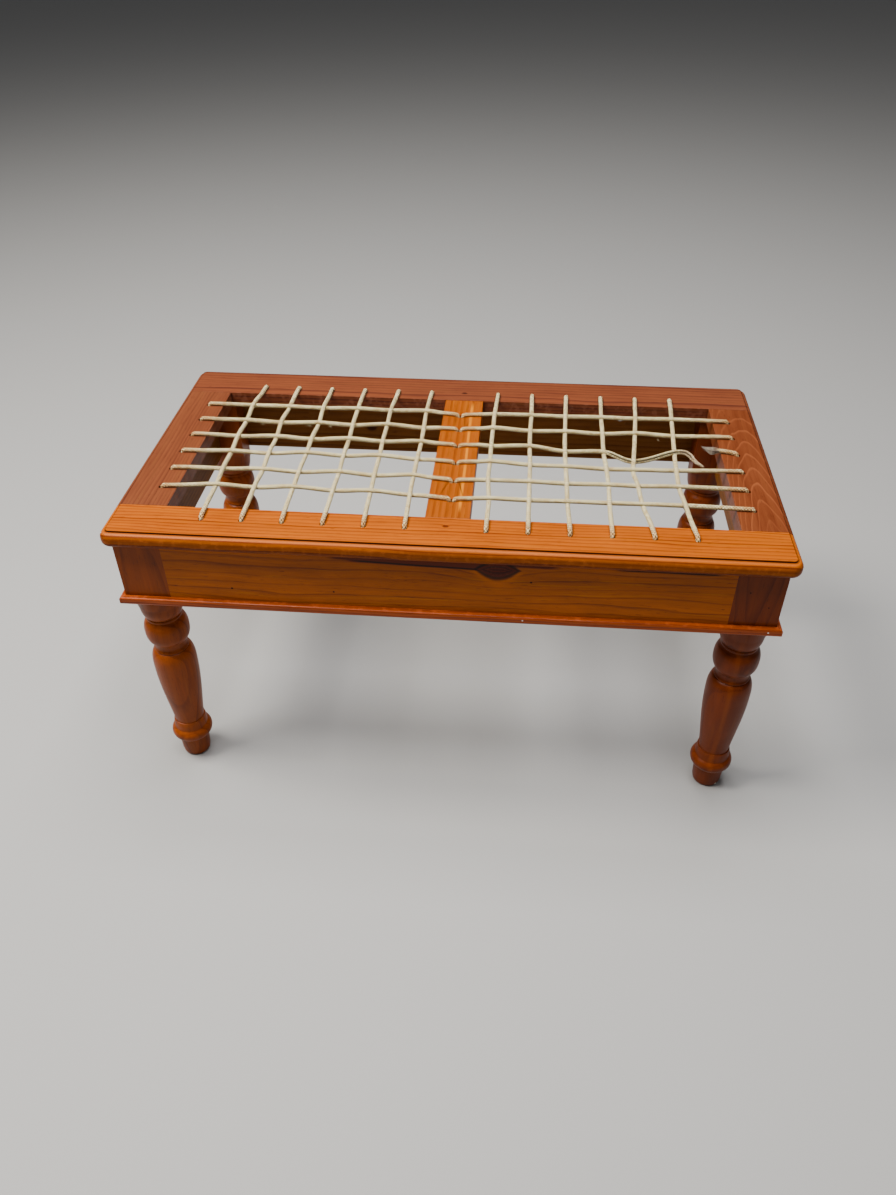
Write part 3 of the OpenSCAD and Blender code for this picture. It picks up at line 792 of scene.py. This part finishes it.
    net.put(net.shader.inputs["Base Color"], colour)
    smudge, _ = net.noise(net.join(net.product(xyz["x"], 0.02), net.product(xyz["y"], 0.02),
                                   net.product(xyz["z"], 0.02)), 1.0, 4.0, 0.6)
    gloss = net.total(rough - 0.08, net.product(smudge, 0.16), net.product(fine, 0.06))
    if wear_and_highlight is not None:
        gloss = net.total(gloss, net.product(wear_and_highlight, 0.12))
    if chipped is not None:
        gloss = net.total(gloss, net.product(chipped, 0.4))
    net.put(net.shader.inputs["Roughness"], gloss)
    peel, _ = net.noise(net.join(xyz["x"], xyz["y"], xyz["z"]), 0.35, 2.0, 0.5)
    height = net.total(net.product(late, 0.5), net.product(fine, 0.6), net.product(peel, 0.35),
                       net.product(ducts, -0.5))
    if hollow is not None:
        height = net.total(height, net.product(hollow, -2.5))
    if chipped is not None:
        height = net.total(height, net.product(chipped, -1.5))
    net.put(net.shader.inputs["Normal"], net.bump(height, bump, 0.0004))
    net.shader.inputs["Coat Weight"].default_value = coat
    net.shader.inputs["Coat Roughness"].default_value = 0.22
    net.shader.inputs["Specular IOR Level"].default_value = sheen
    return net.material


def cotton(name, light, shade, crease):
    """Braided cotton: strands cross over and under, each of several fine yarns."""
    net = Net(name)
    place = net.add("ShaderNodeAttribute", {}, attribute_name="cord_place").outputs["Vector"]
    along, cosine, sine = net.split(place)
    turn = net.product(net.math("ARCTAN2", sine, cosine), BRAID_STRANDS / (2 * math.pi))
    run = net.product(along, BRAID_STRANDS / BRAID_PITCH)
    p = net.math("ADD", turn, run)
    q = net.math("SUBTRACT", turn, run)
    odd = net.math("FLOORED_MODULO", net.math("ADD", net.math("FLOOR", p), net.math("FLOOR", q)), 2.0)
    fp = net.math("SUBTRACT", net.math("FRACT", p), 0.5)
    fq = net.math("SUBTRACT", net.math("FRACT", q), 0.5)
    swap = net.math("SUBTRACT", 1.0, odd)
    across = net.total(net.product(fp, swap), net.product(fq, odd))
    lengthwise = net.total(net.product(fq, swap), net.product(fp, odd))
    height = net.math("SUBTRACT", 1.0, net.total(net.product(across, across, 2.4),
                                                 net.product(lengthwise, lengthwise, 1.6)))
    yarns = net.math("COSINE", net.product(across, 2 * math.pi * 4))
    _, (x, y, z) = place_mm(net, "xyz")
    here = net.join(x, y, z)
    fuzz, _ = net.noise(here, 1.6, 3.0, 0.7)
    dirt_and_shade, _ = net.noise(here, 0.06, 3.0, 0.6)
    mottle, _ = net.noise(here, 0.35, 2.0, 0.6)
    cell = net.add("ShaderNodeTexWhiteNoise", {"Vector": net.join(net.math("FLOOR", p),
                                                                  net.math("FLOOR", q), 0.0)},
                   noise_dimensions="3D").outputs[0]
    colour = net.mix(net.product(net.fade(mottle, 0.45, 0.75), 0.5), light, shade)
    colour = net.mix(net.product(cell, cell, net.total(0.25, mottle)), colour, shade)
    # Tan on the cords near the rails and at their front ends: handling dirt, with part of it a painted
    # warm light bounced off the wood.
    over_rail = net.math("MAXIMUM", net.fade(net.math("ABSOLUTE", x), 335.0, 372.0),
                         net.fade(net.math("ABSOLUTE", x), 34.0, 12.0))
    grime_and_wood_bounce = net.math("MAXIMUM", over_rail, net.fade(y, -158.0, -184.0))
    colour = net.mix(net.product(grime_and_wood_bounce, net.total(0.4, net.product(cell, 0.5))), colour, TAN)
    colour = net.mix(net.product(net.fade(dirt_and_shade, 0.5, 0.8), 0.5), colour, tuple(c * 0.72 for c in shade))
    # Painted shade: darker in the braid's creases, between its yarns and along the parting of a split
    # cord.
    colour = net.mix(net.fade(height, 0.86, 0.36), colour, crease)
    colour = net.mix(net.product(net.math("SUBTRACT", 1.0, yarns), 0.08), colour, crease)
    split = net.add("ShaderNodeAttribute", {}, attribute_name="cord_split").outputs["Fac"]
    parted = net.math("MULTIPLY", split, 1.5, clamp=True)
    colour = net.mix(parted, colour, tuple(c * 0.2 for c in crease))
    colour = net.mix(net.product(net.fade(fuzz, 0.5, 0.75), 0.25), colour, light)
    net.put(net.shader.inputs["Base Color"], colour)
    net.put(net.shader.inputs["Roughness"], net.total(0.8, net.product(fuzz, 0.15)))
    relief = net.total(height, net.product(yarns, 0.12), net.product(fuzz, 0.35))
    net.put(net.shader.inputs["Normal"], net.bump(relief, 0.9, 0.0008))
    net.shader.inputs["Sheen Weight"].default_value = 0.06
    net.shader.inputs["Sheen Roughness"].default_value = 0.5
    net.shader.inputs["Specular IOR Level"].default_value = 0.1
    return net.material


def zinc(name):
    """Zinc-plated steel, dull, with fine turning marks and a few darker spots."""
    net = Net(name)
    _, (x, y, z) = place_mm(net, "xyz")
    here = net.join(x, y, z)
    cloud, _ = net.noise(here, 0.4, 4.0, 0.6)
    turning, _ = net.noise(net.join(net.product(x, 0.2), net.product(y, 0.2), net.product(z, 6.0)),
                           1.0, 2.0, 0.5)
    colour = net.mix(cloud, (0.62, 0.60, 0.55), (0.38, 0.36, 0.33))
    rust = net.fade(cloud, 0.62, 0.75)
    colour = net.mix(net.product(rust, 0.4), colour, (0.22, 0.12, 0.06))
    net.put(net.shader.inputs["Base Color"], colour)
    net.put(net.shader.inputs["Roughness"], net.total(0.3, net.product(turning, 0.25)))
    net.put(net.shader.inputs["Normal"], net.bump(turning, 0.2, 0.0002))
    net.shader.inputs["Metallic"].default_value = 1.0
    return net.material


# ---- Wood of each board ----

WHITE = (0.75, 0.70, 0.62)
TAN = (0.60, 0.29, 0.09)
BLACK = (0.020, 0.008, 0.004)
KNOT_FLECK = (0.26, 0.09, 0.03)
JOINTS = (OPEN_FRONT, OPEN_BACK)
BEAD_TOP = 320.5
OUTER_EDGES = [("x", -HALF_L), ("x", HALF_L), ("y", -HALF_D), ("y", HALF_D)]
# The beads' edges entry lightens a band along their top arris: a painted highlight.
BEAD = dict(pale=(0.37, 0.062, 0.003), dark=(0.135, 0.016, 0.001), pitch=4.0, rough=0.32, coat=0.1,
            sheen=0.15, edges=[("z", BEAD_TOP)])
LEG = dict(pitch=8.0, contrast=0.45, line=0.6, crevice=7, rough=0.36, coat=0.04, glow=0.5, sheen=0.14)
# The right legs take a darker copy of the same leg wood as the left: painted shade on the side away
# from the key light.
LEFT_LEG = dict(pale=(0.25, 0.047, 0.001), dark=(0.080, 0.011, 0.0004), **LEG)
RIGHT_LEG = dict(pale=(0.165, 0.027, 0.001), dark=(0.060, 0.007, 0.0004), **LEG)
SIDE_APRON = dict(pale=(0.20, 0.070, 0.013), dark=(0.078, 0.024, 0.0045), contrast=0.6, sheen=0.04,
                  coat=0.0)
TOP = dict(sheen=0.09, coat=0.0)
CROSS = dict(axes="yxz", joints=JOINTS, **TOP)
LEG_STREAK = (0.30, 0.062, 0.002)
RAW_PINE = dict(pale=(0.62, 0.42, 0.22), dark=(0.42, 0.22, 0.09), pitch=3.5, coat=0.0, rough=0.68,
                bump=0.5)

BOARDS = {
    "top_front_rail": dict(
        axes="xyz", pale=(0.361, 0.079, 0.0), dark=(0.139, 0.018, 0.0), pith=(-290.0, 345.0),
        pitch=5.0, contrast=1.0, knots=[(0, -178, 3, 2, 2.0)],
        edges=OUTER_EDGES + [("y", OPEN_FRONT)], seed=1.0, crevice=5, moulded=True,
        spots=[(-420.5, -216, 417.5, 3.0, WHITE)], **TOP),
    # Extra blue in its pale and dark: partly the wood's tone, partly a painted reflection standing in
    # for the varnish's sheen.
    "top_back_rail": dict(
        axes="xyz", pale=(0.153, 0.040, 0.014), dark=(0.061, 0.013, 0.007), pith=(110.0, 330.0),
        pitch=5.5, contrast=0.85, knots=[(-1, 175, 3, 2, 2.0)],
        edges=OUTER_EDGES + [("y", OPEN_BACK)], seed=2.0, crevice=5, moulded=True, **TOP),
    # Extra blue in its pale and dark: partly the wood's tone, partly a painted reflection standing in
    # for the varnish's sheen.
    "top_left_rail": dict(
        pale=(0.144, 0.040, 0.014), dark=(0.072, 0.0155, 0.007), pith=(-470.0, 360.0),
        pitch=4.2, contrast=0.75, edges=OUTER_EDGES + [("x", OPEN_LEFT)], seed=3.0, crevice=5,
        moulded=True, **CROSS),
    "top_right_rail": dict(
        pale=(0.096, 0.0200, 0.0052), dark=(0.195, 0.052, 0.016), ink=(0.082, 0.0115, 0.0016),
        pith=(398.0, 385.0), tilt=(0.0, -0.12), pitch=4.6, contrast=0.9, wave=2.5, stain=0.2,
        line=0.78, edges=OUTER_EDGES + [("x", OPEN_RIGHT)],
        seed=4.0, crevice=5, moulded=True, **CROSS),
    "top_centre_rail": dict(
        pale=(0.265, 0.058, 0.001), dark=(0.128, 0.020, 0.0), pith=(120.0, 390.0),
        pitch=8.0, wave=1.2, contrast=0.6, glow=0.6, seed=5.0,
        edges=[("x", CENTRE_LEFT), ("x", CENTRE_RIGHT)],
        streaks=[(-150, 150, 14, 3, 0.0, (0.66, 0.22, 0.004), 0.6)], **CROSS),
    "apron_front": dict(
        axes="xzy", pale=(0.40, 0.092, 0.0), dark=(0.12, 0.020, 0.0), pith=(200.0, -190.0),
        pitch=13.0, wave=6.0, contrast=0.6, line=0.72, knots=[(66, 389, 27, 12, 14.0)],
        ink=(0.107, 0.0098, 0.0008), seed=6.0, glow=0.6, sheen=0.12, pointed=True,
        streaks=[
            (-150, 150, 398, 6, 0.0, (0.09, 0.011, 0.001), 1.4),
            (-130, 75, 395, 6, -0.02, (0.11, 0.014, 0.001), 1.4),
            (-120, 55, 393, 1.8, -0.03, (0.02, 0.003, 0.001), 1.3),
            (-110, 40, 398, 1.4, 0.0, (0.30, 0.07, 0.008), 0.8),
            (200, 345, 400, 5, -0.01, (0.02, 0.004, 0.001), 1.3),
            (180, 340, 393, 2.5, -0.01, (0.34, 0.09, 0.01), 0.5)],
        spots=[(-270, -215.5, 340, 1.6, BLACK), (-139, -215.5, 342, 1.4, BLACK),
               (108, -215.5, 372, 1.5, BLACK)]),
    "apron_back": dict(
        axes="xzy", pith=(190.0, 260.0), pitch=9.0, knots=[(-150, 350, 6, 4, 5.0)], seed=7.0,
        **SIDE_APRON),
    "apron_left": dict(axes="yzx", pith=(280.0, -380.0), pitch=7.0, seed=8.0, **SIDE_APRON),
    "apron_right": dict(
        axes="yzx", pith=(430.0, 370.0), pitch=8.0, knots=[(60, 340, 6, 4, 4.0)], seed=9.0,
        **SIDE_APRON),
    "bead_front": dict(
        axes="xzy", pith=(290.0, -240.0), seed=10.0,
        spots=[(100, -222, 316, 1.3, WHITE), (403, -222, 316, 1.3, WHITE)], **BEAD),
    "bead_back": dict(axes="xzy", pith=(290.0, 240.0), seed=11.0, **BEAD),
    "bead_left": dict(axes="yzx", pith=(290.0, -440.0), seed=12.0, **BEAD),
    "bead_right": dict(axes="yzx", pith=(290.0, 440.0), seed=13.0, **BEAD),
    "leg_front_left": dict(
        axes="zxy", pith=(-384.0, -150.0), tilt=(0.0, 0.03), seed=14.0,
        streaks=[(20, 300, -383, 5, 0.0, LEG_STREAK, 0.3)],
        spots=[(-392, -207, 170, 1.0, WHITE)], **LEFT_LEG),
    "leg_front_right": dict(
        axes="zxy", pith=(380.0, -160.0), tilt=(0.0, -0.10), seed=15.0,
        streaks=[(20, 300, 379, 5, 0.0, LEG_STREAK, 0.25)],
        spots=[(396, -203, 4, 3.0, WHITE), (384, -211, 12, 0.9, WHITE),
               (372, -215.5, 372, 1.2, BLACK), (398, -215.5, 350, 1.0, BLACK)], **RIGHT_LEG),
    "leg_back_left": dict(
        axes="zxy", pith=(-360.0, 230.0), tilt=(0.02, 0.02), seed=16.0, **LEFT_LEG),
    "leg_back_right": dict(
        axes="zxy", pith=(350.0, 225.0), tilt=(0.0, -0.03), seed=17.0, **RIGHT_LEG),
    "top_fixing_blocks": dict(axes="xyz", pith=(-120.0, 380.0), pitch=3.5, seed=18.0, **SIDE_APRON),
    "leg_dowels": dict(axes="zxy", pith=(0.0, 0.0), seed=19.0, **RAW_PINE),
}


def soften(piece, width=0.7):
    """Welds a board's split vertices and eases its sharp arrises."""
    weld = piece.modifiers.new("weld", "WELD")
    weld.merge_threshold = 0.00002
    bevel = piece.modifiers.new("arris", "BEVEL")
    bevel.width = width * MM
    bevel.segments = 2
    bevel.limit_method = "ANGLE"
    bevel.angle_limit = math.radians(40)
    bevel.harden_normals = False
    bevel.use_clamp_overlap = True


def dress_frame():
    """Gives the CAD wood and steel their materials and eased edges."""
    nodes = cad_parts
    for name, look in BOARDS.items():
        material = wood(name, **look)
        nodes[name].data.materials.clear()
        nodes[name].data.materials.append(material)
        if name != "leg_dowels":
            soften(nodes[name], 0.9 if name.startswith("top") else 0.6)
    steel = zinc("zinc_steel")
    for name in ("top_fixing_screws", "bead_pins"):
        nodes[name].data.materials.clear()
        nodes[name].data.materials.append(steel)


# ---- The lacing ----

# Fluff caught on a row of the left half, and the brush of fibres at the stub's end
CAUGHT_Z = CORD_Z - 2
BRUSH_ROOT = (359, 25.5, CORD_Z)
BRUSH_TIP = (335.5, 36, CORD_Z)


def lace():
    cord_look = cotton("cotton_cord", (1.0, 0.89, 0.50), (0.50, 0.30, 0.09), (0.08, 0.04, 0.01))
    frayed_look = cotton("frayed_cotton", (0.78, 0.66, 0.52), (0.14, 0.085, 0.055), (0.02, 0.01, 0.005))
    worn_look = cotton("worn_cotton", (0.80, 0.62, 0.38), (0.40, 0.25, 0.12), (0.09, 0.05, 0.02))

    def lay(node, name, path, seed, extra=(), **shape):
        parts = [tube_parts(path, cord_radius(seed, **shape), CORD_SIDES)]
        parts += hairs(path, 0.12, seed)
        parts += extra
        piece = mesh_piece(name, parts, cord_look)
        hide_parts(node)
        return piece

    lay("left_columns_cord", "left_columns_lacing",
        columns_path(LEFT_XS, LEFT_COLUMN_CREEP, LEFT_ROW_CREEP, LEFT_ROW_LIFT), 1)
    lay("right_columns_cord", "right_columns_lacing",
        columns_path(RIGHT_XS, RIGHT_COLUMN_CREEP, RIGHT_ROW_CREEP, RIGHT_ROW_LIFT), 2)
    caught = (fluff((-285, 60, CAUGHT_Z), 2.6, 12, 1) + fluff((-217, 60, CAUGHT_Z), 3.2, 14, 2)
              + fluff((-186, 59, CAUGHT_Z), 3.2, 14, 3))
    lay("left_rows_cord", "left_rows_lacing", left_rows_path(), 3, caught)

    back_path = right_rows_back_path()
    total = RING_GAP * (len(back_path) - 1)
    lay("right_rows_back_cord", "right_rows_back_lacing", back_path, 4,
        fluff((279, 57, CORD_Z - 3.5), 2.5, 4, 4), taper=(total - 9, total + 4, 0.6))
    brush = frayed_end(BRUSH_ROOT, BRUSH_TIP, root_r=2.2, belly_r=8.8, count=110, width=0.52,
                       seed=5, curl=1.7, droop=-4.8)
    fray = mesh_piece("stub_fray", brush, frayed_look)

    front_path = right_rows_front_path()
    split = (-40, 112, -SEAM_ANGLE)
    front = lay("right_rows_front_cord", "right_rows_front_lacing", front_path, 5, seam=split)
    mark_split(front, split)

    tail_path = even(smooth_run(TAIL_ROUTE, 0.6), 0.9)
    tail_length = float(np.linalg.norm(np.diff(tail_path, axis=0), axis=1).sum())
    tail_split = (-40, 30, SEAM_ANGLE)
    shape = cord_radius(6, seam=tail_split, taper=(tail_length * 0.5, tail_length, 0.55))
    parts = [tube_parts(tail_path, shape, CORD_SIDES)]
    parts += frayed_end(tail_path[-10], tail_path[-1] + headings(tail_path)[-1] * 2.0,
                        root_r=1.6, belly_r=2.4, count=40, width=0.2, seed=6, curl=0.4)
    tail = mesh_piece("broken_tail_cord", parts, worn_look)
    mark_split(tail, tail_split)
    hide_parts("broken_tail")

    ends = [(LEFT_XS[0], FRONT_HOLE_Y), (LEFT_XS[5], FRONT_HOLE_Y),
            (RIGHT_XS[0], FRONT_HOLE_Y), (RIGHT_XS[5], FRONT_HOLE_Y),
            (LEFT_HOLE_X, ROW_YS[0]), (LEFT_HOLE_X, ROW_YS[5]),
            (RIGHT_HOLE_X, ROW_YS[0]), (RIGHT_HOLE_X, ROW_YS[5])]
    knots = mesh_piece("cord_end_knots_tied", [end_knot(p, i) for i, p in enumerate(ends)], cord_look)
    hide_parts("cord_end_knots")


# ---- Floor and light ----

MAIN_POWER = 138


def add_stage():
    mesh = bpy.data.meshes.new("floor")
    half = 14.0
    mesh.from_pydata([(-half, -half, 0), (half, -half, 0), (half, half, 0), (-half, half, 0)], [],
                     [(0, 1, 2, 3)])
    floor = bpy.data.objects.new("floor", mesh)
    floor.location.z = -0.0002
    bpy.context.scene.collection.objects.link(floor)
    net = Net("floor_paint")
    net.shader.inputs["Base Color"].default_value = (0.34, 0.332, 0.318, 1)
    net.shader.inputs["Roughness"].default_value = 0.7
    mesh.materials.append(net.material)


def add_light(name, place, aim, size, power, colour):
    data = bpy.data.lights.new(name, "AREA")
    data.shape = "RECTANGLE"
    data.size, data.size_y = size
    data.energy = power
    data.color = colour
    lamp = bpy.data.objects.new(name, data)
    lamp.location = place
    lamp.rotation_mode = "QUATERNION"
    lamp.rotation_quaternion = (Vector(aim) - Vector(place)).to_track_quat("-Z", "Y")
    bpy.context.scene.collection.objects.link(lamp)


def add_lights():
    world = bpy.data.worlds.new("studio")
    world.use_nodes = True
    world.node_tree.nodes["Background"].inputs[0].default_value = (0.86, 0.88, 0.92, 1)
    world.node_tree.nodes["Background"].inputs[1].default_value = 0.13
    bpy.context.scene.world = world
    add_light("key", (-1.5, -0.35, 2.7), (0, 0, 0.35), (1.2, 1.0), MAIN_POWER, (1.0, 0.97, 0.92))
    add_light("top", (0.1, 0.0, 3.1), (0, 0, 0.4), (2.2, 1.6), MAIN_POWER, (0.98, 0.98, 1.0))
    add_light("fill", (1.8, -2.4, 1.4), (0, 0, 0.3), (1.5, 1.5), 3, (1.0, 0.98, 0.95))


lace()
dress_frame()
add_stage()
add_lights()
